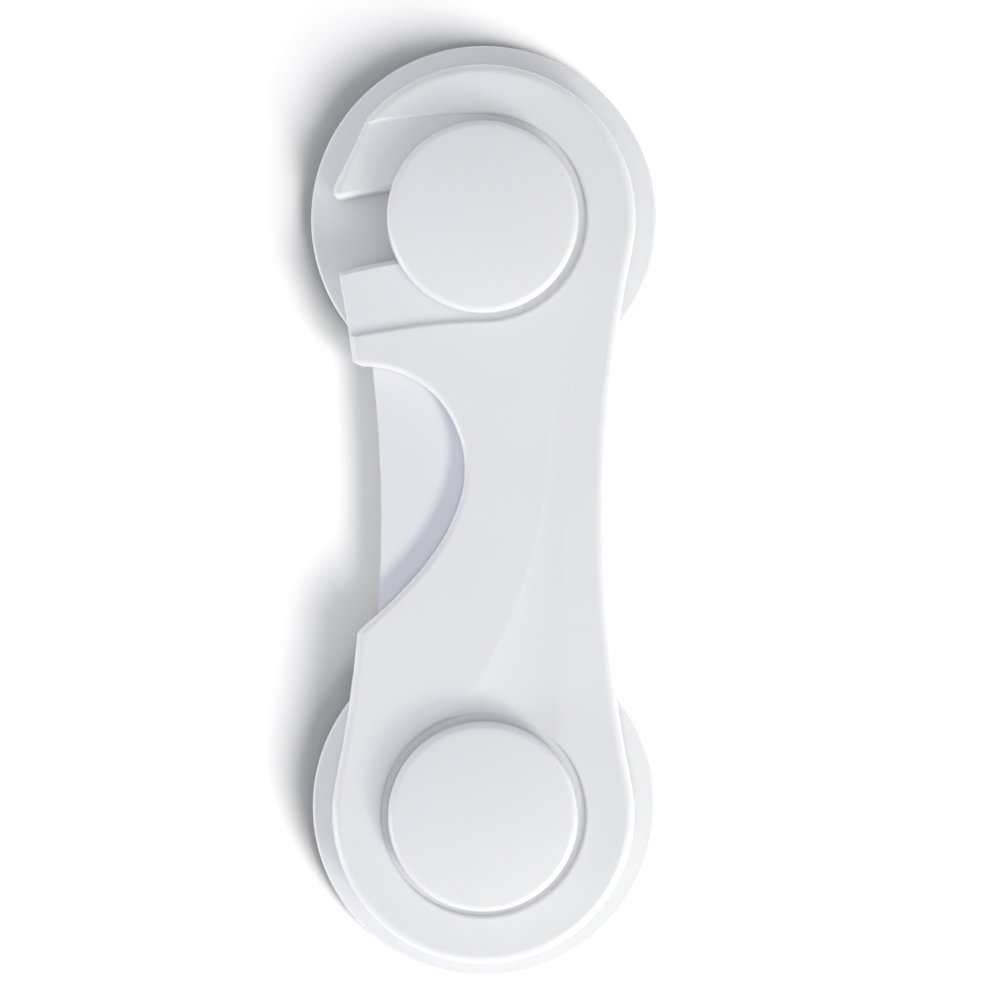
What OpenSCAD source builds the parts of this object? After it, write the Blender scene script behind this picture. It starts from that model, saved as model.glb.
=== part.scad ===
// Cabinet safety lock: a hooked arm that swings between two adhesive posts.
// Lengths are in millimetres. The origin lies on the mounting plane, midway between the posts.
// +Y runs from the pivot post to the catch post, and +Z points away from the furniture.

/* [Posts] */
// Distance between the two posts
span = 95; // [88:0.5:110]
// Diameter of the neck that the arm turns or hooks on
neck_d = 10.6; // [9.6:0.1:11.4]
// Thickness of a base disc
disc_t = 2.3; // [2:0.1:3]
// Diameter of a base disc
disc_d = 55.6; // [52:0.2:60]
// Radius of the rounded rim of a base disc
disc_edge_r = 0.6; // [0.3:0.1:0.9]
// Thickness of the foam tape under a base disc
pad_t = 0.9; // [0.6:0.1:1.5]
// Distance from a disc's rim to its foam tape
pad_inset = 1.4; // [1:0.1:3]
// Depth that the foam tape is let into a disc
pad_seat = 0.2; // [0.1:0.05:0.3]

/* [Caps] */
// Diameter of a cap
cap_d = 30.2; // [28:0.2:31]
// Height of a cap at its rim
cap_rim_h = 3.8; // [3.4:0.1:4.6]
// Rise of a cap's dome above its rim
cap_dome_h = 0.8; // [0.4:0.1:1.5]
// Radius of a cap's rounded edge
cap_edge_r = 1.3; // [0.8:0.1:1.8]
// Wall thickness of a cap
cap_wall = 1.8; // [1.4:0.1:2.2]
// Gap between a cap and the arm below it
cap_gap = 0.5; // [0.4:0.05:0.8]
// Side of the square key that stops a cap from turning
key_side = 5.4; // [5:0.1:5.8]
// Height of the square key
key_h = 1.8; // [1.4:0.1:2.2]
// Clearance round the square key
key_clear = 0.1; // [0.05:0.05:0.2]

/* [Cap screws] */
// Diameter of a cap screw's shank
cap_screw_d = 2.9; // [2.5:0.1:3.1]
// Diameter of a cap screw's head
cap_screw_head_d = 5.6; // [5:0.1:6]
// Height of a cap screw's head
cap_screw_head_h = 1.9; // [1.6:0.1:2.2]
// Clearance round a screw's shank or head
screw_clear = 0.15; // [0.1:0.05:0.25]
// How far a screw's thread reaches past its seat
cap_screw_bite = 3.2; // [2.8:0.1:3.4]
// Clearance round a thread in its pilot hole, and at its tip
thread_clear = 0.05; // [0.03:0.01:0.1]

/* [Arm] */
// Width of the arm's rim between a cap's recess and the flank of its round end
arm_rim_w = 7.9; // [6.8:0.1:8.7]
// Width of the arm at its waist
arm_waist_w = 38.5; // [36:0.5:41]
// Height of the arm from its underside to its plateau
arm_h = 8.2; // [7.8:0.1:9]
// Radius of the rounded edge round the plateau
arm_edge_r = 1.6; // [1:0.1:2]
// Wall thickness of the arm's cover
arm_wall = 1.8; // [1.6:0.1:2]
// Gap between the arm and the base discs
arm_gap = 0.4; // [0.3:0.05:0.6]
// Radial running clearance of the arm on its neck
bore_clear = 0.05; // [0.02:0.01:0.1]
// Thickness of the back plate
plate_t = 1.4; // [1.2:0.1:1.6]
// Clearance between the back plate and the cover's walls
plate_clear = 0.15; // [0.1:0.05:0.25]

/* [Cap recesses] */
// Depth of the recesses that the caps sit in
recess_depth = 0.8; // [0.8:0.1:1.4]
// Clearance between a cap's rim and its recess
recess_clear = 1.2; // [0.8:0.1:1.6]
// Radius of the rounded edge round a recess
recess_edge_r = 0.6; // [0.3:0.1:0.7]

/* [Hook slot] */
// Clearance between the neck and the hook's slot, on each side
slot_clear = 0.3; // [0.25:0.05:0.5]
// Width of the bevel along the slot's edges
slot_bevel = 0.7; // [0.3:0.1:1]
// Radius of the hook's tip, where it rounds over from its floor and its inner side to the flank
hook_edge_r = 1.6; // [1:0.1:1.8]
// The same radius on the other side of the mouth
gate_edge_r = 0.6; // [0.3:0.1:1]

/* [Flute] */
// Depth of the tapered flute where it runs into the pivot cap's recess
flute_depth = 0.7; // [0.4:0.1:0.7]
// Radius of the flute's curved crease
flute_crease_r = 75; // [70:1:85]
// Distance from the arm's middle to the flute's straight edge
flute_edge_x = 13.1; // [12.5:0.1:14]
// Narrowest width of the flute, near the hook
flute_tip_w = 2.8; // [2.4:0.1:3.2]
// Where the flute is narrowest, measured from the arm's middle
flute_tip_y = 15; // [13:0.5:17]

/* [Finger recess] */
// Radius of the finger recess
finger_r = 15.8; // [14.5:0.1:17]
// How deep the finger recess cuts into the arm from the waist's flank
finger_depth = 16; // [14.5:0.1:17]
// Distance of the finger recess from the arm's middle, towards the hook
finger_y = 7.55; // [6:0.5:9]
// Steepness of the recess's straight side, in degrees from the arm's width
finger_slope = 48.3; // [45:0.5:52]
// Radius of the rounded edge round the finger recess
finger_edge_r = 1.1; // [0.4:0.1:1.3]

/* [Release lever] */
// Thickness of the release lever
lever_t = 1.6; // [1.4:0.1:1.8]
// Clearance above and below the release lever, and at its stops
lever_clear = 0.3; // [0.25:0.05:0.4]
// Distance from the arm's flank to the lever's pushing edge
lever_inset = 2.87; // [2.4:0.1:3.2]
// How far the lever reaches below the cover round the finger recess
lever_lap = 3; // [2.4:0.1:3.4]
// Angle that the lever turns through when it is pressed
lever_travel = 6; // [5:0.5:6]
// Height that the nose stands into the hook's slot
nose_h = 2; // [1.8:0.1:2.1]
// Clearance between the nose and the neck
nose_clear = 0.35; // [0.3:0.05:0.5]
// Length of the ramp that leads up to the nose
nose_ramp = 11.2; // [10:0.2:12]
// Thickness of the lip along the pushing edge
lip_t = 1.4; // [1.2:0.1:1.6]
// Height that the lip hangs below the lever
lip_h = 1.2; // [0.8:0.1:1.3]
// Diameter of the lever's pin
pin_d = 3; // [2.6:0.1:3.2]
// Radial running clearance of the lever on its pin
pin_clear = 0.05; // [0.02:0.01:0.1]
// Clearance of the pin in its two sockets
pin_fit = 0.02; // [0.01:0.01:0.05]
// Wall of the lever's boss and of the pin's socket
pin_wall = 1.5; // [1.3:0.1:1.6]

/* [Lever spring] */
// Outer diameter of the spring
spring_d = 4.2; // [3.8:0.1:4.3]
// Diameter of the spring's wire
spring_wire = 0.5; // [0.4:0.05:0.55]
// Number of turns
spring_turns = 8; // [6:1:9]
// Length of the spring at rest
spring_len = 10.2; // [9.5:0.1:11]
// Thickness of the blocks that the spring pushes on
spring_seat_t = 1.8; // [1.5:0.1:2]
// Gap between the spring and each of its seats
spring_gap = 0.05; // [0.03:0.01:0.1]

/* [Arm screws] */
// Diameter of an arm screw's shank
arm_screw_d = 2; // [1.8:0.1:2.2]
// Diameter of an arm screw's countersunk head
arm_screw_head_d = 4; // [3.6:0.1:4.2]
// Height of an arm screw's countersunk head
arm_screw_head_h = 1.1; // [0.9:0.05:1.15]
// How far an arm screw reaches into its boss
arm_screw_bite = 4.4; // [3.8:0.1:4.6]
// Width of the slot in a screw's head
driver_w = 0.6; // [0.5:0.1:0.8]
// Diameter of a screw boss
boss_d = 5.2; // [4.8:0.1:5.6]

/* [Hidden] */

$fn = 96;
// Steps along an arm end, along its waist, round a path's end, over a rounded edge, round a
// corner of the hook's mouth and along the flute
end_steps = 40;
waist_steps = 14;
path_steps = 32;
edge_steps = 6;
mouth_steps = 4;
flute_steps = 24;
// How far a cut runs past the face that it cuts
over = 0.5;

// Colours
abs_white = [0.91, 0.915, 0.935];
lever_white = [0.88, 0.885, 0.91];
foam_grey = [0.72, 0.73, 0.75];
zinc_grey = [0.62, 0.63, 0.65];
spring_grey = [0.45, 0.46, 0.48];

// Places of the two posts
pivot = [0, -span / 2];
catch = [0, span / 2];

// Heights above the mounting plane
disc_z0 = pad_t - pad_seat;
disc_z1 = disc_z0 + disc_t;
arm_z0 = disc_z1 + arm_gap;
arm_z1 = arm_z0 + arm_h;
floor_z = arm_z1 - recess_depth;
cap_z0 = floor_z + cap_gap;
cap_z1 = cap_z0 + cap_rim_h + cap_dome_h;
plate_z1 = arm_z0 + plate_t;
lever_z0 = plate_z1 + lever_clear;
lever_z1 = lever_z0 + lever_t;
// Underside of what the lever slides below
roof_z = lever_z1 + lever_clear;
cavity_z1 = arm_z1 - arm_wall;

neck_r = neck_d / 2;
cap_r = cap_d / 2;
slot_half = neck_r + slot_clear;
recess_r = cap_r + recess_clear;

// The arm's outline: two round ends joined by hollow flanks that touch them
end_r = recess_r + arm_rim_w;
waist_half = arm_waist_w / 2;
waist_r = (pow(waist_half, 2) + pow(span / 2, 2) - pow(end_r, 2)) / (2 * (end_r - waist_half));
waist_x = waist_half + waist_r;
tangent_a = atan2(span / 2, waist_x);
// Distances from the pivot post to the hook end's lower tangent point and to a flank's centre
tangent_r = norm(catch - end_r * [cos(tangent_a), sin(tangent_a)] - pivot);
waist_gap = norm([waist_x, span / 2]);

// Distance from the pivot post to the slot's inner side
slot_in_r = span - slot_half;
// Angle about the pivot post that the slot and the recess run through
mouth_spare_a = 2;
mouth_a = 2 * asin((end_r + over) / (span - recess_r) / 2) + mouth_spare_a;

// Finger recess: the circle's centre, and the point where its straight side leaves it
finger_c = [-(waist_half - finger_depth + finger_r), finger_y];
finger_a = finger_slope - 90;

// The lever's pin, in the wide part of the hook end outside the cap recess
pin_r = pin_d / 2;
lever_boss_r = pin_r + pin_wall;
pin_a = 7.7;
pin_c = catch + (recess_r + lever_boss_r - pin_wall / 2) * [cos(pin_a), sin(pin_a)];
pin_z0 = arm_z0 + plate_t / 3;
pin_z1 = cavity_z1 - lever_clear;

// The nose: its tip clears the neck, and its ramp leads away towards the slot's mouth
nose_tip_r = slot_in_r + nose_h;
nose_drop = span - nose_tip_r;
nose_tip_x = -sqrt(pow(neck_r + nose_clear, 2) - pow(nose_drop, 2));
nose_in_r = slot_in_r - arm_wall - 2 * lever_clear;
// Angle about the pivot post that the nose's flat tip takes up
nose_tip_a = 1;

// The spring, between the lever and a block of the cover
spring_r = spring_d / 2;
spring_y = finger_y + spring_r;
spring_z = (plate_z1 + cavity_z1) / 2;
spring_x0 = finger_c[0] + finger_r + arm_wall + lever_clear + spring_seat_t;
spring_x1 = spring_x0 + spring_len;
seat_half = spring_r + driver_w;
spigot_len = spring_len / 6;
curl_rings = 8;
wire_sides = 6;
spigot_r = (spring_r - spring_wire / 2) * cos(180 / curl_rings) - spring_wire / 2 - 2 * spring_gap;

// The screws that hold the back plate. The third one's boss is also the pressed lever's stop
boss_r = boss_d / 2;
ring_r = end_r - arm_wall - boss_r;
lower_share = 0.31;
lower_c = [waist_half - arm_wall - boss_r - over, -span * lower_share];
pressed_finger_c = pin_c + turned(finger_c - pin_c, lever_travel);
stop_a = -9;
stop_c = pressed_finger_c + (finger_r + lever_lap + lever_clear + boss_r) * [cos(stop_a), sin(stop_a)];
screw_places = [catch + [0, ring_r], [waist_half - arm_wall - boss_r / 2, span / 4], stop_c,
    [-lower_c[0], lower_c[1]], lower_c, pivot - [0, ring_r]];

// A point turned about the origin by an angle
function turned(p, a) = [p[0] * cos(a) - p[1] * sin(a), p[0] * sin(a) + p[1] * cos(a)];

// Points of an arc about a centre, from one angle to another
function arc(c, r, a0, a1, steps) =
    [for (i = [0:steps]) c + r * [cos(a0 + (a1 - a0) * i / steps), sin(a0 + (a1 - a0) * i / steps)]];

// The same arc without its two end points
function inner_arc(c, r, a0, a1, steps) =
    [for (i = [1:steps - 1]) c + r * [cos(a0 + (a1 - a0) * i / steps), sin(a0 + (a1 - a0) * i / steps)]];

// The arm's outline, drawn in by an inset
function arm_outline(inset) = concat(
    arc(catch, end_r - inset, -tangent_a, 180 + tangent_a, end_steps),
    inner_arc([-waist_x, 0], waist_r + inset, tangent_a, -tangent_a, waist_steps),
    arc(pivot, end_r - inset, 180 - tangent_a, 360 + tangent_a, end_steps),
    inner_arc([waist_x, 0], waist_r + inset, 180 + tangent_a, 180 - tangent_a, waist_steps));

// The outline of a channel that follows the catch neck's path, ended round the catch post
function path_outline(half) = concat(
    arc(pivot, span - half, 90 + mouth_a, 90, path_steps / 2),
    inner_arc(catch, half, -90, 90, path_steps),
    arc(pivot, span + half, 90, 90 + mouth_a, path_steps / 2));

// Angle from +Y about the pivot post at which a circle about it crosses the arm's open flank
function mouth_angle(r) = r > tangent_r
    ? acos((pow(span, 2) + pow(r, 2) - pow(end_r, 2)) / (2 * span * r))
    : 90 - tangent_a - acos((pow(waist_gap, 2) + pow(r, 2) - pow(waist_r, 2)) / (2 * waist_gap * r));

// A point at a radius and an angle about the pivot post, and at a height
function mouth_point(r, a, z) = [pivot[0] - r * sin(a), pivot[1] + r * cos(a), z];

// One side of the hook's mouth at a height, from outside the flank inwards to the catch post.
// Its corner is rounded in plan, and a drop share of 1 rounds the floor down over the flank too
function mouth_side(half, side, z, drop_share) =
    let (edge = side > 0 ? hook_edge_r : gate_edge_r, r_in = span + side * half,
        a_in = mouth_angle(r_in) - edge / r_in * 180 / PI, runs = path_steps / 4)
    concat([mouth_point(r_in + side * edge, mouth_a, z - drop_share * edge)],
        [for (k = [0:mouth_steps])
            let (a = 90 * k / mouth_steps, fall = edge * (1 - sin(a)), r = r_in + side * fall)
            mouth_point(r, mouth_angle(r) - edge * (1 - cos(a)) / r * 180 / PI, z - drop_share * fall)],
        [for (k = [1:runs]) mouth_point(r_in, a_in * (1 - k / runs), z)]);

// The outline of the hook's channel at a height
function mouth_ring(half, z, drop_share) =
    let (upper = mouth_side(half, 1, z, drop_share))
    concat(mouth_side(half, -1, z, drop_share), lifted(inner_arc(catch, half, -90, 90, path_steps), z),
        [for (i = [len(upper) - 1:-1:0]) upper[i]]);

// The finger recess grown by a lap: round, with one straight side, and open over the flank
function finger_outline(lap) =
    let (r = finger_r + lap, out_x = -end_r - over, tangent = finger_c + r * [cos(finger_a), sin(finger_a)],
        fall = (tangent[0] - out_x) * tan(finger_slope))
    concat([[out_x, tangent[1] - fall]], arc(finger_c, r, finger_a, 90, path_steps),
        [[out_x, finger_y + r + (finger_c[0] - out_x) * tan(90 - finger_slope) / 2]]);

// Points of a 2D outline at a height
function lifted(points, z) = [for (p = points) [p[0], p[1], z]];

// Triangles that close an outline: strips across it between the points whose numbers add up to
// the tie, which suits a hollow outline that is alike on both sides
function strips(count, tie) =
    let (first = ceil(tie / 2), last = floor((count - tie % 2) / 2) - 1)
    [for (k = [0:last])
        let (a = (first + k) % count, a_next = (a + 1) % count,
            b = (2 * count + tie - first - k) % count, b_next = (b + count - 1) % count)
        each concat(a_next != b_next ? [[a, a_next, b_next]] : [], a != b ? [[a, b_next, b]] : [])];

// A solid between outlines of equal counts, stacked upwards
module stack(rings, tie) {
    count = len(rings[0]);
    top = len(rings) - 1;
    ends = strips(count, tie);
    polyhedron(points = [for (ring = rings) each ring], faces = concat(
        ends,
        [for (k = [0:top - 1], i = [0:count - 1]) each [
            [k * count + i, (k + 1) * count + i, k * count + (i + 1) % count],
            [k * count + (i + 1) % count, (k + 1) * count + i, (k + 1) * count + (i + 1) % count]]],
        [for (face = ends) [for (i = [2:-1:0]) top * count + face[i]]]));
}

// The arm's outline raised between two heights, with its upper edge rounded
module arm_form(z0, z1, edge) {
    stack(concat([lifted(arm_outline(0), z0)], [for (k = [0:edge_steps])
        let (a = 90 * k / edge_steps)
        lifted(arm_outline(edge * (1 - cos(a))), z1 - edge + edge * sin(a))]), end_steps);
}

// The arm's outline drawn in by an inset and raised between two heights
module arm_block(inset, z0, z1) {
    translate([0, 0, z0])
        linear_extrude(z1 - z0)
            polygon(arm_outline(inset));
}

// The neck's path raised between two heights
module path_block(half, z0, z1) {
    translate([0, 0, z0])
        linear_extrude(z1 - z0)
            polygon(path_outline(half));
}

// The finger recess raised between two heights
module finger_block(lap, z0, z1) {
    translate([0, 0, z0])
        linear_extrude(z1 - z0)
            polygon(finger_outline(lap));
}

// An upright round bar about a place
module bar(place, r, z0, z1) {
    translate([place[0], place[1], z0])
        cylinder(h = z1 - z0, r = r);
}

// Foam tape under one base disc
module adhesive_pad(post) {
    color(foam_grey)
        bar(post, disc_d / 2 - pad_inset, 0, pad_t);
}

// Base disc with its rounded rim, its neck and the square key on top, drilled for the cap's screw
module base_disc(post) {
    rim = disc_d / 2;
    head_z1 = pad_t + over / 4 + cap_screw_head_h;
    color(abs_white)
        translate([post[0], post[1], 0])
            difference() {
                union() {
                    rotate_extrude()
                        polygon(concat([[0, disc_z0], [rim, disc_z0]],
                            arc([rim - disc_edge_r, disc_z1 - disc_edge_r], disc_edge_r, 0, 90, edge_steps),
                            [[neck_r + disc_edge_r, disc_z1]],
                            inner_arc([neck_r + disc_edge_r / 2, disc_z1 + disc_edge_r / 2],
                                disc_edge_r / 2, 270, 180, edge_steps),
                            [[neck_r, disc_z1 + disc_edge_r / 2], [neck_r, cap_z0], [0, cap_z0]]));
                    translate([-key_side / 2, -key_side / 2, cap_z0 - over])
                        cube([key_side, key_side, key_h + over]);
                }
                bar([0, 0], rim - pad_inset + pad_seat, disc_z0 - over, pad_t);
                bar([0, 0], cap_screw_head_d / 2 + screw_clear, 0, head_z1);
                bar([0, 0], cap_screw_d / 2 + screw_clear, 0, cap_z0 + key_h + over);
            }
}

// Domed cap: a shell with a boss that stands on the neck and takes the key and the screw
module cap(post) {
    rim_z = cap_z1 - cap_dome_h;
    dome_r = (pow(cap_r, 2) + pow(cap_dome_h, 2)) / (2 * cap_dome_h);
    edge_x = cap_r - cap_edge_r;
    edge_a = asin(edge_x / (dome_r - cap_edge_r));
    edge_z = cap_z1 - dome_r + (dome_r - cap_edge_r) * cos(edge_a);
    inner_z = rim_z - cap_wall;
    color(abs_white)
        translate([post[0], post[1], 0])
            difference() {
                rotate_extrude()
                    polygon(concat([[0, cap_z0], [cap_r, cap_z0]],
                        arc([edge_x, edge_z], cap_edge_r, 0, 90 - edge_a, edge_steps),
                        inner_arc([0, cap_z1 - dome_r], dome_r, 90 - edge_a, 90, edge_steps),
                        [[0, cap_z1]]));
                difference() {
                    bar([0, 0], cap_r - cap_wall, cap_z0 - over, inner_z);
                    bar([0, 0], neck_r, cap_z0, inner_z + over);
                }
                translate([-key_side / 2 - key_clear, -key_side / 2 - key_clear, cap_z0 - over])
                    cube([key_side + 2 * key_clear, key_side + 2 * key_clear, key_h + key_clear + over]);
                bar([0, 0], cap_screw_d / 2 + thread_clear, cap_z0, screw_tip_z() + thread_clear);
            }
}

// Height of a cap screw's tip
function screw_tip_z() = cap_z0 + cap_screw_bite;

// Cap screw, put in from below: pan head with a cross recess, and a shank
module cap_screw(post) {
    head_z0 = pad_t + over / 4;
    head_z1 = head_z0 + cap_screw_head_h - screw_clear;
    head_r = cap_screw_head_d / 2;
    color(zinc_grey)
        translate([post[0], post[1], 0])
            difference() {
                rotate_extrude()
                    polygon(concat([[0, head_z0]],
                        inner_arc([head_r - disc_edge_r, head_z0 + disc_edge_r], disc_edge_r, -90, 0,
                            edge_steps),
                        [[head_r, head_z1], [cap_screw_d / 2, head_z1],
                        [cap_screw_d / 2, screw_tip_z() - cap_screw_d / 2], [0, screw_tip_z()]]));
                for (a = [0, 90])
                    rotate([0, 0, a])
                        translate([-cap_screw_d / 2, -driver_w / 2, head_z0 - over])
                            cube([cap_screw_d, driver_w, cap_screw_head_h / 2 + over]);
            }
}

// The channel at the hook: the neck's slot with its bevel, and above it the recess that the
// catch cap passes through, with its upper edge rounded
module hook_channel() {
    rings = concat([mouth_ring(slot_half, arm_z0 - over, 0),
        mouth_ring(slot_half, floor_z - slot_bevel, 1),
        mouth_ring(slot_half + slot_bevel, floor_z, 1),
        mouth_ring(recess_r, floor_z, 1)],
        [for (k = [0:edge_steps]) let (a = 90 * k / edge_steps)
            mouth_ring(recess_r + recess_edge_r * (1 - cos(a)), arm_z1 - recess_edge_r * (1 - sin(a)), 0)],
        [mouth_ring(recess_r + recess_edge_r, arm_z1 + over, 0)]);
    stack(rings, len(rings[0]) - 1);
}

// The bore for the pivot neck, and above it the round recess for the pivot cap
module pivot_channel() {
    bore_r = neck_r + bore_clear;
    translate([pivot[0], pivot[1], 0])
        rotate_extrude()
            polygon(concat([[0, arm_z0 - over], [bore_r, arm_z0 - over], [bore_r, floor_z],
                [recess_r, floor_z]],
                arc([recess_r + recess_edge_r, arm_z1 - recess_edge_r], recess_edge_r, 180, 90, edge_steps),
                [[recess_r + recess_edge_r, arm_z1 + over], [0, arm_z1 + over]]));
}

// Width of the flute at a place along the arm, between its straight edge and its curved crease
function flute_w(y) =
    flute_tip_w + flute_crease_r - sqrt(pow(flute_crease_r, 2) - pow(y - flute_tip_y, 2));

// Tapered flute: hollow across and as steep all along its crease above the pivot cap's recess,
// and faded out at the hook end
module flute_cut() {
    low = pivot[1] + recess_r / 2;
    high = flute_tip_y + recess_r;
    cross_steps = 10;
    steepness = flute_depth / flute_w(pivot[1] + recess_r + recess_edge_r);
    stack([for (i = [0:flute_steps])
        let (y = low + (high - low) * i / flute_steps,
            x0 = flute_edge_x - flute_w(y),
            depth = min(steepness * flute_w(y), flute_depth) * min(1, (high - y) / recess_r))
        concat([[x0, y, arm_z1 + over], [flute_edge_x, y, arm_z1 + over]],
            [for (k = [0:cross_steps]) let (t = 1 - k / cross_steps)
                [x0 + (flute_edge_x - x0) * t, y, arm_z1 + over * pow(2 * t - 1, 8) / 8
                    - depth * 4 * t * (1 - t)]])], cross_steps + 2);
}

// The finger recess cut through the cover, with its upper edge rounded
module finger_cut() {
    stack(concat([lifted(finger_outline(0), arm_z0 - over)],
        [for (k = [0:edge_steps]) let (a = 90 * k / edge_steps)
            lifted(finger_outline(finger_edge_r * (1 - cos(a))), arm_z1 - finger_edge_r * (1 - sin(a)))],
        [lifted(finger_outline(finger_edge_r), arm_z1 + over)]), path_steps + 2);
}

// What stays solid inside the cover: floors, walls, bosses and the spring's block
module cover_inside() {
    top = cavity_z1 + over;
    path_block(recess_r + arm_wall, floor_z - arm_wall, top);
    bar(pivot, recess_r + arm_wall, floor_z - arm_wall, top);
    path_block(slot_half + arm_wall, arm_z0 - over, top);
    finger_block(arm_wall, roof_z, top);
    bar(pivot, neck_r + arm_wall, plate_z1, top);
    bar(pin_c, lever_boss_r, roof_z, top);
    for (place = screw_places)
        bar(place, boss_r, plate_z1, top);
    translate([spring_x1, spring_y - seat_half, plate_z1])
        cube([spring_seat_t, 2 * seat_half, top - plate_z1]);
}

// Upper shell of the arm
module arm_cover() {
    color(abs_white)
        difference() {
            arm_form(arm_z0, arm_z1, arm_edge_r);
            difference() {
                arm_block(arm_wall, arm_z0 - over, cavity_z1);
                cover_inside();
            }
            hook_channel();
            pivot_channel();
            finger_cut();
            nose_window();
            flute_cut();
            bar(pin_c, pin_r + pin_fit, arm_z0 - over, pin_z1);
            for (place = screw_places)
                bar(place, arm_screw_d / 2 + thread_clear, plate_z1 - over,
                    plate_z1 + arm_screw_bite + thread_clear);
        }
}

// The window in the slot's inner wall that the nose stands through
module nose_window() {
    left = nose_tip_x - nose_ramp - 2 * lever_clear;
    right = nose_tip_x + lever_clear + nose_h / 2;
    translate([left, catch[1] - neck_r - recess_r / 2, plate_z1])
        cube([right - left, recess_r / 2, roof_z - plate_z1]);
}

// Back plate, let in between the cover's walls; it leaves room for the pressed lever's lip
module arm_back_plate() {
    inset = arm_wall + plate_clear;
    color(abs_white)
        difference() {
            arm_block(inset, arm_z0, plate_z1);
            path_block(slot_half + inset, arm_z0 - over, plate_z1 + over);
            lip_room();
            bar(pivot, neck_r + bore_clear, arm_z0 - over, plate_z1 + over);
            bar(pin_c, pin_r + pin_fit, pin_z0, plate_z1 + over);
            for (place = screw_places) {
                bar(place, arm_screw_d / 2 + screw_clear, arm_z0 - over, plate_z1 + over);
                translate([place[0], place[1], arm_z0 - thread_clear])
                    cylinder(h = arm_screw_head_h + thread_clear, r1 = arm_screw_head_d / 2 + screw_clear,
                        r2 = arm_screw_d / 2 + screw_clear);
            }
        }
}

// Turns its children about the lever's pin
module pressed(a) {
    translate([pin_c[0], pin_c[1], 0])
        rotate([0, 0, a])
            translate([-pin_c[0], -pin_c[1], 0])
                children();
}

// The room that the lip sweeps: what the finger recess holds at rest and when the lever is
// pressed, left of the pressed lip
module lip_room() {
    z0 = arm_z0 - over;
    z1 = plate_z1 + over;
    intersection() {
        union() {
            finger_block(0, z0, z1);
            pressed(lever_travel)
                finger_block(0, z0, z1);
        }
        difference() {
            translate([-end_r - over, pivot[1], z0])
                cube([end_r + over, span, z1 - z0]);
            pressed(lever_travel)
                arm_block(lever_inset + lip_t + lever_clear, z0 - over, z1 + over);
        }
    }
}

// One countersunk screw with a straight slot, put in from below
module arm_screw(place) {
    head_r = arm_screw_head_d / 2;
    shank_r = arm_screw_d / 2;
    tip_z = plate_z1 + arm_screw_bite;
    translate([place[0], place[1], 0])
        difference() {
            rotate_extrude()
                polygon([[0, arm_z0 + thread_clear], [head_r, arm_z0 + thread_clear],
                    [shank_r, arm_z0 + arm_screw_head_h], [shank_r, tip_z - shank_r], [0, tip_z]]);
            translate([-head_r - over, -driver_w / 2, arm_z0 - over])
                cube([2 * head_r + 2 * over, driver_w, over + arm_screw_head_h / 2]);
        }
}

module arm_screws() {
    color(zinc_grey)
        for (place = screw_places)
            arm_screw(place);
}

// Plan of the lever: finger plate, web, ring round the slot's end, arm to the pin, and nose
module lever_plan() {
    ring_in = slot_half + arm_wall + 3 * lever_clear;
    ring_out = ring_in + 2 * lever_boss_r - lever_clear;
    web_left = nose_tip_x - nose_ramp;
    web_low = spring_y + seat_half;
    tip_a = 90 + asin(-nose_tip_x / nose_tip_r);
    ramp_a = tip_a + nose_ramp / nose_tip_r * 180 / PI;
    intersection() {
        polygon(arm_outline(arm_wall + lever_clear));
        union() {
            intersection() {
                polygon(arm_outline(lever_inset));
                union() {
                    polygon(finger_outline(lever_lap));
                    translate([web_left, web_low])
                        square([-web_left + ring_in / 2, catch[1] - ring_out - web_low + lever_lap]);
                    polygon(concat(arc(pivot, nose_in_r, ramp_a, 90, path_steps / 2),
                        arc(pivot, nose_in_r - ring_out + ring_in, 90, ramp_a, path_steps / 2)));
                }
            }
            polygon(concat(arc(catch, ring_in, -90, 0, path_steps),
                arc(catch, ring_out, 0, -90, path_steps)));
            translate([ring_in, catch[1] - lever_boss_r / 2])
                square([pin_c[0] - ring_in, pin_c[1] - catch[1] + lever_boss_r]);
            translate([pin_c[0], pin_c[1]])
                circle(lever_boss_r);
            polygon([pivot + (nose_in_r - lever_clear) * [cos(ramp_a), sin(ramp_a)],
                pivot + (slot_in_r - lever_clear) * [cos(ramp_a), sin(ramp_a)],
                pivot + nose_tip_r * [cos(tip_a + nose_tip_a), sin(tip_a + nose_tip_a)],
                pivot + nose_tip_r * [cos(tip_a), sin(tip_a)],
                pivot + (nose_in_r - lever_clear) * [cos(tip_a), sin(tip_a)]]);
        }
    }
}

// Release lever: a flat plate with a lip along its pushing edge and a seat for the spring
module release_lever() {
    seat_x0 = spring_x0 - spring_seat_t;
    color(lever_white)
        difference() {
            union() {
                translate([0, 0, lever_z0])
                    linear_extrude(lever_t)
                        lever_plan();
                intersection() {
                    difference() {
                        arm_block(lever_inset, lever_z0 - lip_h, lever_z1);
                        arm_block(lever_inset + lip_t, lever_z0 - 2 * lip_h, lever_z1 + over);
                    }
                    finger_block(-lever_clear, lever_z0 - 2 * lip_h, lever_z1 + over);
                }
                translate([seat_x0, spring_y - seat_half, lever_z0])
                    cube([spring_seat_t, 2 * seat_half, cavity_z1 - lever_clear - lever_z0]);
                translate([seat_x0 - lever_lap, spring_y - seat_half, lever_z0])
                    cube([lever_lap + spring_seat_t, 2 * seat_half, lever_t]);
                translate([spring_x0 - over, spring_y, spring_z])
                    rotate([0, 90, 0])
                        cylinder(h = spigot_len + over, r = spigot_r);
            }
            bar(pin_c, pin_r + pin_clear, lever_z0 - over, lever_z1 + over);
        }
}

module lever_pin() {
    color(zinc_grey)
        bar(pin_c, pin_r, pin_z0, pin_z1 - pin_fit);
}

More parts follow.
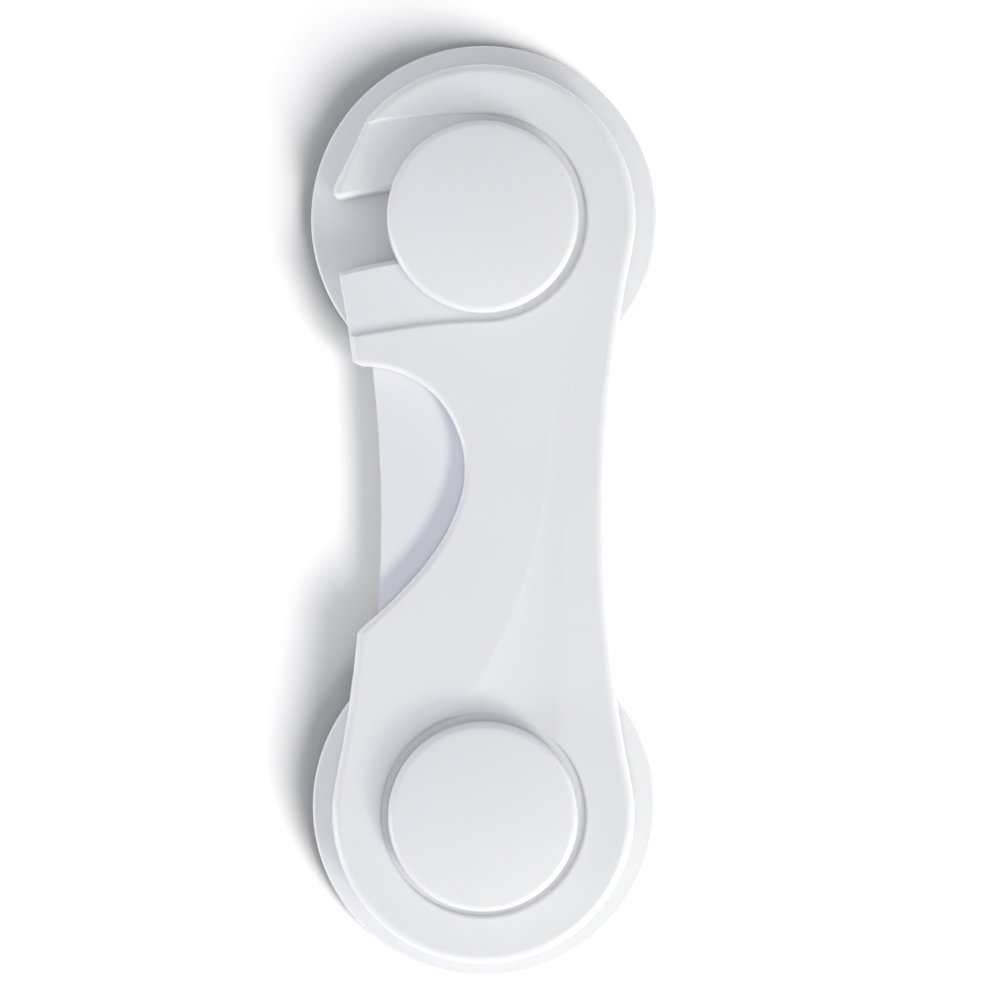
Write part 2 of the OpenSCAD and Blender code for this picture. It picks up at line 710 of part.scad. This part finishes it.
// Centre line of the spring's wire at a share of its length
function spring_point(t) =
    let (r = spring_r - spring_wire / 2, first = spring_x0 + spring_gap + spring_wire / 2,
        last = spring_x1 - spring_gap - spring_wire / 2, a = 360 * spring_turns * t)
    [first + (last - first) * t, spring_y + r * cos(a), spring_z + r * sin(a)];

// Ring of points round the wire, square to its run
function spring_ring(t) =
    let (a = 360 * spring_turns * t, out = [0, cos(a), sin(a)],
        pitch = spring_len / spring_turns, turn = 2 * PI * (spring_r - spring_wire / 2),
        along = [turn, pitch * sin(a), -pitch * cos(a)] / norm([turn, pitch]))
    [for (k = [0:wire_sides - 1]) let (b = 360 * k / wire_sides)
        spring_point(t) + spring_wire / 2 * (cos(b) * out - sin(b) * along)];

// Helical compression spring between the lever and the cover's block
module lever_spring() {
    last = spring_turns * curl_rings;
    points = [for (i = [0:last]) spring_point(i / last)];
    gaps = [for (i = [0:last]) for (j = [i + curl_rings / 2:last]) norm(points[i] - points[j]) - spring_wire];
    echo(least_gap_between_turns = min(gaps));
    color(spring_grey)
        stack([for (i = [0:last]) spring_ring(i / last)], wire_sides - 1);
}

module pivot_adhesive_pad() {
    adhesive_pad(pivot);
}

module catch_adhesive_pad() {
    adhesive_pad(catch);
}

module pivot_base_disc() {
    base_disc(pivot);
}

module catch_base_disc() {
    base_disc(catch);
}

module pivot_cap() {
    cap(pivot);
}

module catch_cap() {
    cap(catch);
}

module pivot_cap_screw() {
    cap_screw(pivot);
}

module catch_cap_screw() {
    cap_screw(catch);
}

pivot_adhesive_pad();
catch_adhesive_pad();
pivot_base_disc();
catch_base_disc();
pivot_cap();
catch_cap();
pivot_cap_screw();
catch_cap_screw();
arm_cover();
arm_back_plate();
arm_screws();
release_lever();
lever_pin();
lever_spring();
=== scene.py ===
"""Looks of an adhesive cabinet safety lock: two base discs on foam tape, an arm that turns on one
post and hooks round the other, and a sprung release lever in the arm's finger recess.

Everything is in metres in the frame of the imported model: +Y runs from the pivot post to the
catch post, and +Z points away from the furniture.
"""

import math

import bmesh
import bpy
import numpy as np
from mathutils import Matrix, Vector


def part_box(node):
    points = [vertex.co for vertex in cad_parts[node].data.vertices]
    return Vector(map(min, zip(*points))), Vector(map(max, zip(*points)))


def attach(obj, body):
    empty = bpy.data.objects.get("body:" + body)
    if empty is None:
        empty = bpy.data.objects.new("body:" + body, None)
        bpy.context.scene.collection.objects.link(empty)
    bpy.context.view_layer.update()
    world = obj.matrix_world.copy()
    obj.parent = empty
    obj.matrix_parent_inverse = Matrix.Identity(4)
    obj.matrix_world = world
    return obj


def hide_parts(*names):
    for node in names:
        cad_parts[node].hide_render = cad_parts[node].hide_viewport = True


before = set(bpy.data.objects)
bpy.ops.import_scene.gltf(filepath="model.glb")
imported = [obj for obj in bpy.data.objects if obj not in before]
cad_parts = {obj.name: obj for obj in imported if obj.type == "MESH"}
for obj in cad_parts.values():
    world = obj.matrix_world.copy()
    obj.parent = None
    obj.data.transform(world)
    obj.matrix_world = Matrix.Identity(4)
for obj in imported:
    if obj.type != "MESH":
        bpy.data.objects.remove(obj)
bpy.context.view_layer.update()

MM = 0.001
PIVOT_Y = (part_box("pivot_base_disc")[0].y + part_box("pivot_base_disc")[1].y) / 2
CATCH_Y = (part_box("catch_base_disc")[0].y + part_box("catch_base_disc")[1].y) / 2

# Heights and radii that the frame gives, and the box of the lever's spring
PAD_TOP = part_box("pivot_adhesive_pad")[1].z
PAD_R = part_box("pivot_adhesive_pad")[1].x
DISC_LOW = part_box("pivot_base_disc")[0].z
DISC_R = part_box("pivot_base_disc")[1].x
KEY_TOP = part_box("pivot_base_disc")[1].z
CAP_LOW, CAP_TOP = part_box("pivot_cap")[0].z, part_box("pivot_cap")[1].z
CAP_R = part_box("pivot_cap")[1].x
SCREW_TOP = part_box("pivot_cap_screw")[1].z
SPRING_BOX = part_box("lever_spring")

# Sizes of the base discs and their posts that the boxes don't give
DISC_T = 2.3 * MM
DISC_EDGE_R = 0.6 * MM
DISC_FOOT_R = 0.25 * MM
PAD_CLEAR = 0.2 * MM
NECK_R = 5.3 * MM
NECK_FOOT_R = 0.5 * MM
NECK_CHAMFER = 0.15 * MM
KEY_HALF = 2.7 * MM
KEY_CHAMFER = 0.2 * MM
BORE_R = 1.6 * MM
HEAD_HOLE_R = 2.95 * MM
HEAD_HOLE_H = 2.0 * MM

# Sizes of the caps
CAP_EDGE_R = 1.3 * MM
CAP_FOOT_R = 0.2 * MM
CAP_DOME_H = 1.15 * MM
CAP_WALL = 1.8 * MM
CAP_ROOF_R = 0.4 * MM
KEY_CLEAR = 0.1 * MM
THREAD_R = 1.5 * MM
THREAD_CLEAR = 0.05 * MM

PAD_BULGE = 0.12 * MM

# Wire and turns of the lever's spring
WIRE_R = 0.25 * MM
SPRING_TURNS = 8
DEAD_TURNS = 0.75
CLOSED_PITCH = 2.3 * WIRE_R
WIRE_RINGS_PER_TURN, WIRE_SIDES = 40, 12

# The finger recess: the middle and radius of its arc, and the direction of its straight side in
# degrees from +X. The cuts across the side are made in a strip that reaches STRIP_HALF to each
# hand of it, and from STRIP_LOW to STRIP_HIGH along it, counted from its upper end
POCKET_X, POCKET_Y, POCKET_R = -18.9 * MM, 7.55 * MM, 15.8 * MM
POCKET_SLOPE = 48.3
SLOPE_CUTS, SLOPE_STEP = 12, 1.5 * MM
STRIP_HALF, STRIP_LOW, STRIP_HIGH = 3.5 * MM, -22 * MM, 2 * MM

# How far the recess's outline is slid, and where that starts and fades, in millimetres and degrees
GROW_LEAST, GROW_MORE = 0.3, 0.3
GROW_TURN, GROW_TURN_WIDTH = 20, 30
GROW_END, GROW_FADE = 23, 4
FALL_MOST = 2.3
FALL_START, FALL_RAMP = 2.5, 9
FALL_END, FALL_FADE = -30, 22
SIDE_END, SIDE_FADE = 2, 3
FLANK_SLOPE = 0.09

# Finish of the meshes
ROUND_STEPS = 192
SHARP_ANGLE = math.radians(35)
MERGE_DISTANCE = 0.002 * MM
FLAT_ANGLE = math.radians(0.4)

FLOOR_HALF, FLOOR_DROP = 3.0, 0.05 * MM


def hex_colour(text):
    """An sRGB hex colour as linear red, green, blue and alpha."""
    values = [int(text[i:i + 2], 16) / 255 for i in (1, 3, 5)]
    linear = [v / 12.92 if v <= 0.04045 else ((v + 0.055) / 1.055) ** 2.4 for v in values]
    return (*linear, 1.0)


def add(tree, kind, values=(), settings=(), **links):
    """Adds a node: values fill sockets by name, settings are attributes, and links join a socket
    of the node, its name in lower case with underscores, to another node's output."""
    node = tree.nodes.new(kind)
    for name, value in dict(settings).items():
        setattr(node, name, value)
    for name, value in dict(values).items():
        node.inputs[name].default_value = value
    for name, output in links.items():
        socket = next(s for s in node.inputs
                      if s.enabled and s.name.lower().replace(" ", "_") == name)
        tree.links.new(output, socket)
    return node


def new_material(name):
    """An empty node material and its tree."""
    material = bpy.data.materials.new(name)
    material.use_nodes = True
    material.node_tree.nodes.clear()
    return material, material.node_tree


def object_pattern(tree, kind, scale, detail=3.0):
    """A noise or voronoi pattern on Object coordinates, scale in features per metre."""
    place = add(tree, "ShaderNodeTexCoord").outputs["Object"]
    values = {"Scale": scale}
    if kind == "ShaderNodeTexNoise":
        values["Detail"] = detail
    return add(tree, kind, values, vector=place)


def ramp(tree, factor, low, high):
    """Maps a factor of 0 to 1 on to the range from low to high."""
    node = add(tree, "ShaderNodeMapRange", {"To Min": low, "To Max": high}, value=factor)
    return node.outputs["Result"]


def colour_mix(tree, factor, first, second):
    """A colour between two hex colours."""
    node = add(tree, "ShaderNodeMix", settings={"data_type": "RGBA"}, factor=factor)
    low, high = (socket for socket in node.inputs if socket.type == "RGBA")
    low.default_value, high.default_value = hex_colour(first), hex_colour(second)
    return next(socket for socket in node.outputs if socket.type == "RGBA")


def moulded_abs(name, light, dark, gloss):
    """Injection-moulded white ABS: satin, with the faint flow shade of thick mouldings and the
    fine grain that a spark-eroded mould leaves, drawn at 0.35 mm so that it shows."""
    material, tree = new_material(name)
    flow = object_pattern(tree, "ShaderNodeTexNoise", 1 / (22 * MM), detail=2.0).outputs["Fac"]
    grain = object_pattern(tree, "ShaderNodeTexNoise", 1 / (0.35 * MM), detail=2.0).outputs["Fac"]
    wear = object_pattern(tree, "ShaderNodeTexNoise", 1 / (3 * MM), detail=5.0).outputs["Fac"]
    bump = add(tree, "ShaderNodeBump", {"Strength": 0.06, "Distance": 0.02 * MM}, height=grain)
    surface = add(tree, "ShaderNodeBsdfPrincipled",
                  {"IOR": 1.53, "Subsurface Weight": 0.06, "Subsurface Scale": 0.6 * MM,
                   "Coat Weight": 0.12, "Coat Roughness": 0.18},
                  base_color=colour_mix(tree, flow, dark, light),
                  roughness=ramp(tree, wear, gloss - 0.03, gloss + 0.05),
                  normal=bump.outputs["Normal"])
    add(tree, "ShaderNodeOutputMaterial", surface=surface.outputs["BSDF"])
    return material


def foam_tape():
    """Closed-cell polyethylene foam tape, cut round: matt, with cells about 0.4 mm across that
    show on its cut edge and as a soft shade on its face."""
    material, tree = new_material("polyethylene_foam_tape")
    cells = object_pattern(tree, "ShaderNodeTexVoronoi", 1 / (0.4 * MM)).outputs["Distance"]
    cloud = object_pattern(tree, "ShaderNodeTexNoise", 1 / (6 * MM)).outputs["Fac"]
    bump = add(tree, "ShaderNodeBump", {"Strength": 0.5, "Distance": 0.06 * MM}, height=cells)
    surface = add(tree, "ShaderNodeBsdfPrincipled",
                  {"IOR": 1.5, "Roughness": 0.85, "Sheen Weight": 0.1, "Specular IOR Level": 0.25},
                  base_color=colour_mix(tree, cloud, "#c9cbce", "#dadcdf"),
                  normal=bump.outputs["Normal"])
    add(tree, "ShaderNodeOutputMaterial", surface=surface.outputs["BSDF"])
    return material


def zinc_plated_steel():
    """Cold-headed steel with bright zinc plating: a metal with a soft cloudy roughness."""
    material, tree = new_material("zinc_plated_steel")
    cloud = object_pattern(tree, "ShaderNodeTexNoise", 1 / (0.8 * MM), detail=4.0).outputs["Fac"]
    surface = add(tree, "ShaderNodeBsdfPrincipled", {"Metallic": 1.0},
                  base_color=colour_mix(tree, cloud, "#b4b7bb", "#cdd0d4"),
                  roughness=ramp(tree, cloud, 0.28, 0.42))
    add(tree, "ShaderNodeOutputMaterial", surface=surface.outputs["BSDF"])
    return material


def drawn_spring_wire():
    """Hard-drawn spring steel wire: grey metal with fine draw lines, here drawn 0.12 mm apart so
    that they show, which make it rougher than plate."""
    material, tree = new_material("hard_drawn_spring_wire")
    lines = object_pattern(tree, "ShaderNodeTexNoise", 1 / (0.12 * MM), detail=2.0).outputs["Fac"]
    bump = add(tree, "ShaderNodeBump", {"Strength": 0.15, "Distance": 0.01 * MM}, height=lines)
    surface = add(tree, "ShaderNodeBsdfPrincipled", {"Metallic": 1.0},
                  base_color=colour_mix(tree, lines, "#8d9095", "#a6a9ae"),
                  roughness=ramp(tree, lines, 0.3, 0.45),
                  normal=bump.outputs["Normal"])
    add(tree, "ShaderNodeOutputMaterial", surface=surface.outputs["BSDF"])
    return material


def mesh_object(name, points, faces):
    """A smooth-shaded mesh object, with its edges sharp where its faces turn by more than
    SHARP_ANGLE."""
    mesh = bpy.data.meshes.new(name)
    mesh.from_pydata(points.reshape(-1, 3).tolist(), [], faces)
    mesh.update()
    mesh.shade_smooth()
    mesh.set_sharp_from_angle(angle=SHARP_ANGLE)
    thing = bpy.data.objects.new(name, mesh)
    bpy.context.scene.collection.objects.link(thing)
    return thing


def grid_faces(rows, columns):
    """Quads of a grid that is closed along both its rows and its columns."""
    i, j = np.meshgrid(np.arange(rows), np.arange(columns), indexing="ij")
    i_next, j_next = (i + 1) % rows, (j + 1) % columns
    corners = [i * columns + j, i * columns + j_next,
               i_next * columns + j_next, i_next * columns + j]
    return np.stack(corners, axis=-1).reshape(-1, 4)


def turned(name, place_y, profile, squareness=None):
    """A profile turned about an upright axis: the point (r, z) goes to
    (r f cos t, place_y + r f sin t, z) for t round the circle. f is 1, and where squareness is 1
    it is 1 / max(|cos t|, |sin t|), which turns the circle into a square of half side r. A
    profile that starts and ends on the axis is closed by a single point at each end, and any
    other profile is closed on itself."""
    profile = np.asarray(profile, float)
    square = np.zeros(len(profile)) if squareness is None else np.asarray(squareness, float)
    ends = profile[[0, -1]] if profile[0, 0] == 0 else profile[:0]
    if len(ends):
        profile, square = profile[1:-1], square[1:-1]
    t = np.arange(ROUND_STEPS) * 2 * np.pi / ROUND_STEPS
    to_square = 1 / np.maximum(np.abs(np.cos(t)), np.abs(np.sin(t)))
    factor = 1 + square[:, None] * (to_square - 1)[None, :]
    r = profile[:, :1] * factor
    points = np.stack([r * np.cos(t), place_y + r * np.sin(t),
                       np.repeat(profile[:, 1:2], ROUND_STEPS, axis=1)], axis=-1).reshape(-1, 3)
    faces = grid_faces(len(profile), ROUND_STEPS)[:, ::-1]
    if len(ends):
        faces = faces[:-ROUND_STEPS]
    faces = faces.tolist()
    for row, point, way in zip((0, len(profile) - 1), ends, (1, -1)):
        pole = len(points)
        points = np.concatenate([points, [[0, place_y, point[1]]]])
        ring = [row * ROUND_STEPS + j for j in range(ROUND_STEPS)]
        faces += [[pole, a, b][::way] for a, b in zip(ring, ring[1:] + ring[:1])]
    return mesh_object(name, points, faces)


def fillet(centre, r, start_deg, end_deg, steps=8):
    """Points of an arc in the plane of a profile, as rows of (r, z)."""
    a = np.radians(np.linspace(start_deg, end_deg, steps))
    return np.stack([centre[0] + r * np.cos(a), centre[1] + r * np.sin(a)], axis=-1)


def base_disc(name, place_y):
    """Base disc with its post: the profile runs from the screw's bore over the underside, the
    rounded rim, the top, the neck and the square key, and back down the bore."""
    top = DISC_LOW + DISC_T
    rim_in = PAD_R + PAD_CLEAR
    head_top = PAD_TOP + HEAD_HOLE_H
    parts = [[[BORE_R, head_top]], [[HEAD_HOLE_R, head_top]], [[HEAD_HOLE_R, PAD_TOP]],
             [[rim_in, PAD_TOP]], [[rim_in, DISC_LOW]],
             fillet((DISC_R - DISC_FOOT_R, DISC_LOW + DISC_FOOT_R), DISC_FOOT_R, -90, 0, 5),
             fillet((DISC_R - DISC_EDGE_R, top - DISC_EDGE_R), DISC_EDGE_R, 0, 90, 9),
             fillet((NECK_R + NECK_FOOT_R, top + NECK_FOOT_R), NECK_FOOT_R, -90, -180, 7),
             [[NECK_R, CAP_LOW - NECK_CHAMFER]], [[NECK_R - NECK_CHAMFER, CAP_LOW]]]
    lower = np.concatenate([np.asarray(p, float) for p in parts])
    key = np.array([[KEY_HALF, CAP_LOW], [KEY_HALF, KEY_TOP - KEY_CHAMFER],
                    [KEY_HALF - KEY_CHAMFER, KEY_TOP]])
    bore = np.array([[BORE_R, KEY_TOP]])
    profile = np.concatenate([lower, key, bore])
    squareness = np.concatenate([np.zeros(len(lower)), np.ones(len(key)), np.zeros(len(bore))])
    return turned(name, place_y, profile, squareness)


def cap(name, place_y):
    """Domed cap: the outside is a dome of radius (r^2 + h^2) / 2h, with r the cap's radius and h
    the dome's rise, that runs into a rounded edge and a short upright side. Below, it is hollow
    round a boss, which has a square socket for the key and a hole for the screw."""
    rim = CAP_TOP - CAP_DOME_H
    dome_r = (CAP_R ** 2 + CAP_DOME_H ** 2) / (2 * CAP_DOME_H)
    edge_x = CAP_R - CAP_EDGE_R
    edge_deg = math.degrees(math.asin(edge_x / (dome_r - CAP_EDGE_R)))
    edge_z = CAP_TOP - dome_r + (dome_r - CAP_EDGE_R) * math.cos(math.radians(edge_deg))
    inside = rim - CAP_WALL
    socket_top = KEY_TOP + KEY_CLEAR
    dome = fillet((0, CAP_TOP - dome_r), dome_r, 90 - edge_deg, 90, 14)[1:]
    outer = np.concatenate([
        fillet((CAP_R - CAP_FOOT_R, CAP_LOW + CAP_FOOT_R), CAP_FOOT_R, -90, 0, 4),
        fillet((edge_x, edge_z), CAP_EDGE_R, 0, 90 - edge_deg, 14), dome])
    hollow_top = SCREW_TOP + THREAD_CLEAR
    hollow = np.array([[0, hollow_top], [THREAD_R, hollow_top], [THREAD_R, socket_top]])
    socket = np.array([[KEY_HALF + KEY_CLEAR, socket_top], [KEY_HALF + KEY_CLEAR, CAP_LOW]])
    roof = inside - CAP_ROOF_R
    under = np.concatenate([
        np.array([[NECK_R, CAP_LOW]]),
        fillet((NECK_R + CAP_ROOF_R, roof), CAP_ROOF_R, 180, 90, 5),
        fillet((CAP_R - CAP_WALL - CAP_ROOF_R, roof), CAP_ROOF_R, 90, 0, 5),
        np.array([[CAP_R - CAP_WALL, CAP_LOW]])])
    profile = np.concatenate([hollow, socket, under, outer])
    squareness = np.concatenate([np.zeros(len(hollow)), np.ones(len(socket)),
                                 np.zeros(len(under) + len(outer))])
    return turned(name, place_y, profile, squareness)


def adhesive_pad(name, place_y):
    """Foam tape: a flat disc whose cut edge bulges a little, as squeezed foam does. Its radius is
    PAD_R less PAD_BULGE (1 - sin pi u), for u from 0 at its foot to 1 at its top."""
    side = np.linspace(0, 1, 7)
    bulge = PAD_R - PAD_BULGE + PAD_BULGE * np.sin(np.pi * side)
    edge = np.stack([bulge, PAD_TOP * side], axis=-1)
    profile = np.concatenate([[[0, 0]], edge, [[0, PAD_TOP]]])
    return turned(name, place_y, profile)


def wound_spring(name):
    """Compression spring: the centre line is a helix about an axis along X,
    (x(s), y0 + R cos 2 pi s, z0 + R sin 2 pi s), for s from 0 to SPRING_TURNS. x(s) climbs
    evenly, but for DEAD_TURNS at each end, where the wire climbs by CLOSED_PITCH a turn. The
    wire is a circle of radius WIRE_R square to the line."""
    low, high = (np.array(corner) for corner in SPRING_BOX)
    y0, z0 = (low[1:] + high[1:]) / 2
    big = (high[1] - low[1]) / 2 - WIRE_R
    rings, sides = SPRING_TURNS * WIRE_RINGS_PER_TURN, WIRE_SIDES
    turns = np.linspace(0, SPRING_TURNS, rings)
    live = np.clip((turns - DEAD_TURNS) / (SPRING_TURNS - 2 * DEAD_TURNS), 0, 1)
    dead = (np.clip(turns, 0, DEAD_TURNS)
            + np.clip(turns - SPRING_TURNS + DEAD_TURNS, 0, DEAD_TURNS))
    first, last = low[0] + WIRE_R, high[0] - WIRE_R
    x = first + CLOSED_PITCH * dead + (last - first - 2 * CLOSED_PITCH * DEAD_TURNS) * live
    angle = 2 * np.pi * turns
    centre = np.stack([x, y0 + big * np.cos(angle), z0 + big * np.sin(angle)], axis=-1)
    along = np.gradient(centre, axis=0)
    along /= np.linalg.norm(along, axis=1, keepdims=True)
    out = np.stack([np.zeros(rings), np.cos(angle), np.sin(angle)], axis=-1)
    side = np.cross(along, out)
    b = np.arange(sides) * 2 * np.pi / sides
    points = (centre[:, None] + WIRE_R * (np.cos(b)[None, :, None] * out[:, None]
                                          + np.sin(b)[None, :, None] * side[:, None]))
    faces = grid_faces(rings, sides)[:(rings - 1) * sides].tolist()
    faces += [list(range(sides))[::-1], [(rings - 1) * sides + k for k in range(sides)]]
    return mesh_object(name, points, faces)


def smooth_copy(name, node):
    """A copy of a CAD node with its corners merged and its flat faces made whole, so that round
    stretches shade smoothly."""
    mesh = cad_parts[node].data.copy()
    mesh.name = name
    custom = mesh.attributes.get("custom_normal")
    if custom:
        mesh.attributes.remove(custom)
    body = bmesh.new()
    body.from_mesh(mesh)
    bmesh.ops.remove_doubles(body, verts=body.verts, dist=MERGE_DISTANCE)
    bmesh.ops.dissolve_limit(body, angle_limit=FLAT_ANGLE, verts=body.verts, edges=body.edges)
    body.to_mesh(mesh)
    body.free()
    mesh.shade_smooth()
    mesh.set_sharp_from_angle(angle=SHARP_ANGLE)
    thing = bpy.data.objects.new(name, mesh)
    bpy.context.scene.collection.objects.link(thing)
    weighted = thing.modifiers.new("face_normals", "WEIGHTED_NORMAL")
    weighted.keep_sharp = True
    return thing


def smooth_step(t):
    """0 below 0, 1 above 1, and 3 t^2 - 2 t^3 between."""
    t = np.clip(t, 0, 1)
    return t * t * (3 - 2 * t)


def cut_slope(mesh):
    """Cuts the faces along the straight side of the finger recess into short ones, so that the
    side can be bent: the cuts are square to the side, at every SLOPE_STEP from its upper end,
    where it runs into the arc."""
    a = math.radians(POCKET_SLOPE)
    along, across = Vector((math.cos(a), math.sin(a), 0)), Vector((math.sin(a), -math.cos(a), 0))
    top = Vector((POCKET_X, POCKET_Y, 0)) + across * POCKET_R
    body = bmesh.new()
    body.from_mesh(mesh)
    for k in range(1, SLOPE_CUTS + 1):
        place = top - along * (k * SLOPE_STEP)
        faces = []
        for face in body.faces:
            middle = face.calc_center_median() - top
            if (abs(middle.dot(across)) < STRIP_HALF
                    and STRIP_LOW < middle.dot(along) < STRIP_HIGH):
                faces.append(face)
        edges = list(dict.fromkeys(edge for face in faces for edge in face.edges))
        corners = list(dict.fromkeys(corner for face in faces for corner in face.verts))
        bmesh.ops.bisect_plane(body, geom=faces + edges + corners, plane_co=place, plane_no=along)
    body.to_mesh(mesh)
    body.free()


def round_pocket(thing):
    """Slides the finger recess's wall to the rounder outline of the real one. With r and w the
    distance in mm and the direction in degrees of a point from the middle of the recess's arc,
    and s for smooth_step, the point goes outwards by
    (0.3 + 0.3 s((w - 20) / 30)) s((23 - r) / 4) and down along the flank by
    2.3 s((2.5 - y) / 9) s((y + 30) / 22), both in mm and times s((2 - x) / 3), so that neither
    reaches past the middle of the arm. Down along the flank is x by -0.09 for y by -1."""
    mesh = thing.data
    cut_slope(mesh)
    points = np.empty(len(mesh.vertices) * 3)
    mesh.vertices.foreach_get("co", points)
    points = points.reshape(-1, 3)
    x, y = points[:, :2].T / MM
    out_x, out_y = x - POCKET_X / MM, y - POCKET_Y / MM
    r = np.maximum(np.hypot(out_x, out_y), 1)
    w = np.degrees(np.arctan2(out_y, out_x))
    near = smooth_step((SIDE_END - x) / SIDE_FADE)
    turn = smooth_step((w - GROW_TURN) / GROW_TURN_WIDTH)
    grow = (GROW_LEAST + GROW_MORE * turn) * smooth_step((GROW_END - r) / GROW_FADE) * near
    fall = (FALL_MOST * smooth_step((FALL_START - y) / FALL_RAMP)
            * smooth_step((y - FALL_END) / FALL_FADE) * near)
    points[:, 0] += (grow * out_x / r - FLANK_SLOPE * fall) * MM
    points[:, 1] += (grow * out_y / r - fall) * MM
    mesh.vertices.foreach_set("co", points.ravel())
    mesh.update()
    return thing


def finish_piece(thing, material, slot, body, *nodes):
    """Gives a piece its material and its body, and hides the CAD nodes it stands for. The slot
    argument is not used.
    """
    thing.data.materials.clear()
    thing.data.materials.append(material)
    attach(thing, body)
    if nodes:
        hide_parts(*nodes)


white = moulded_abs("moulded_white_abs", "#eceef0", "#e6e8eb", 0.32)
lever_white = moulded_abs("moulded_white_abs_lever", "#e9eaef", "#e3e4ea", 0.36)
foam = foam_tape()
zinc = zinc_plated_steel()
spring_wire = drawn_spring_wire()

low_pieces = []
for post, place_y in (("pivot", PIVOT_Y), ("catch", CATCH_Y)):
    pad, disc = adhesive_pad(post + "_foam_tape", place_y), base_disc(post + "_disc", place_y)
    low_pieces += [pad, disc]
    finish_piece(pad, foam, "foam_tape", "root", post + "_adhesive_pad")
    finish_piece(disc, white, "white_abs", "root", post + "_base_disc")
    finish_piece(cap(post + "_domed_cap", place_y), white, "white_abs", "root", post + "_cap")
    finish_piece(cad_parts[post + "_cap_screw"], zinc, "zinc_steel", "root")

for name, node in (("arm_shell", "arm_cover"), ("arm_floor", "arm_back_plate")):
    finish_piece(round_pocket(smooth_copy(name, node)), white, "white_abs", "arm", node)
lever = smooth_copy("finger_lever", "release_lever")
finish_piece(lever, lever_white, "lever_abs", "lever", "release_lever")
finish_piece(wound_spring("coil_spring"), spring_wire, "spring_steel", "arm", "lever_spring")
for node in ("arm_screws", "lever_pin"):
    finish_piece(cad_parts[node], zinc, "zinc_steel", "arm")


def floor_material():
    """Pale matt laminate. Two lamps of its own light it up to white, so that the lock's shadow on
    it stays deep while the lock itself is lit softly."""
    material, tree = new_material("pale_laminate_floor")
    face = add(tree, "ShaderNodeBsdfDiffuse", {"Color": hex_colour("#bcbcbc")})
    add(tree, "ShaderNodeOutputMaterial", surface=face.outputs[0])
    return material


def floor():
    """A large plain floor just below the foam tape."""
    corners = np.array([[-1, -1], [1, -1], [1, 1], [-1, 1]]) * FLOOR_HALF
    points = np.column_stack([corners, np.full(4, -FLOOR_DROP)])
    plane = mesh_object("floor", points, [[0, 1, 2, 3]])
    plane.data.materials.append(floor_material())
    return plane


def softbox(name, azimuth, elevation, size, power, colour, only=None, never=None, shadows_of=()):
    """A square area lamp 1 m from the middle of the lock and turned to it. The azimuth runs from
    +X to +Y, in degrees. A lamp with only lights nothing but that thing, one with never lights
    all things but that one, and one with shadows_of gets shadows from those things alone."""
    a, e = math.radians(azimuth), math.radians(elevation)
    place = Vector((math.cos(a) * math.cos(e), math.sin(a) * math.cos(e), math.sin(e)))
    data = bpy.data.lights.new(name, "AREA")
    data.shape, data.size, data.energy = "SQUARE", size, power
    data.color = hex_colour(colour)[:3]
    lamp = bpy.data.objects.new(name, data)
    lamp.location = place
    lamp.rotation_mode = "QUATERNION"
    lamp.rotation_quaternion = (-place).to_track_quat("-Z", "Y")
    bpy.context.scene.collection.objects.link(lamp)
    if only or never:
        reach = bpy.data.collections.new(name + "_reach")
        reach.objects.link(only or never)
        if never:
            reach.collection_objects[0].light_linking.link_state = "EXCLUDE"
        lamp.light_linking.receiver_collection = reach
    if shadows_of:
        casters = bpy.data.collections.new(name + "_casters")
        for thing in shadows_of:
            casters.objects.link(thing)
        lamp.light_linking.blocker_collection = casters


def sky(level):
    """A white surround: full white to the camera and in reflections, and a soft fill otherwise."""
    world = bpy.data.worlds.new("white_surround")
    bpy.context.scene.world = world
    world.use_nodes = True
    tree = world.node_tree
    tree.nodes.clear()
    path = add(tree, "ShaderNodeLightPath")
    seen = add(tree, "ShaderNodeMath", settings={"operation": "MAXIMUM"})
    tree.links.new(path.outputs["Is Camera Ray"], seen.inputs[0])
    tree.links.new(path.outputs["Is Glossy Ray"], seen.inputs[1])
    fill = add(tree, "ShaderNodeBackground", {"Color": hex_colour("#f7f8ff"), "Strength": level})
    white_ground = add(tree, "ShaderNodeBackground", {"Color": (1, 1, 1, 1), "Strength": 1.0})
    mixed = add(tree, "ShaderNodeMixShader")
    tree.links.new(seen.outputs[0], mixed.inputs[0])
    tree.links.new(fill.outputs[0], mixed.inputs[1])
    tree.links.new(white_ground.outputs[0], mixed.inputs[2])
    add(tree, "ShaderNodeOutputWorld", surface=mixed.outputs[0])


def camera():
    """The photograph's camera: almost straight above the lock's hook end, with a long lens."""
    data = bpy.data.cameras.new("camera")
    data.lens, data.sensor_width = 111.64, 36.0
    data.clip_start, data.clip_end = 0.05, 20
    eye = bpy.data.objects.new("camera", data)
    place = Vector((6.05, 26.7, 503.0)) * MM
    target = Vector((2.62, 2.38, 3.0)) * MM
    back = (place - target).normalized()
    right = Vector((0, 1, 0)).cross(back).normalized()
    turn = Matrix((right, back.cross(right), back)).transposed()
    eye.location = place
    eye.rotation_euler = turn.to_euler()
    bpy.context.scene.collection.objects.link(eye)
    bpy.context.scene.camera = eye


ground = floor()
sky(0.61)
softbox("key_lamp", -50, 25, 0.2, 2.9, "#fff9f0", never=lever)
softbox("key_softbox", -45, 38, 0.45, 3.1, "#fff9f0", never=lever)
softbox("lever_lamp", -45, 48, 0.22, 4.3, "#fff9f0", only=lever)
softbox("rim_softbox", -160, 8, 0.4, 3.5, "#fafaff")
softbox("floor_softbox", -30, 50, 0.4, 9.0, "#ffffff", only=ground)
softbox("floor_edge_softbox", -35, 25, 0.7, 20.0, "#ffffff", only=ground, shadows_of=low_pieces)
camera()
bpy.context.scene.view_settings.view_transform = "Standard"
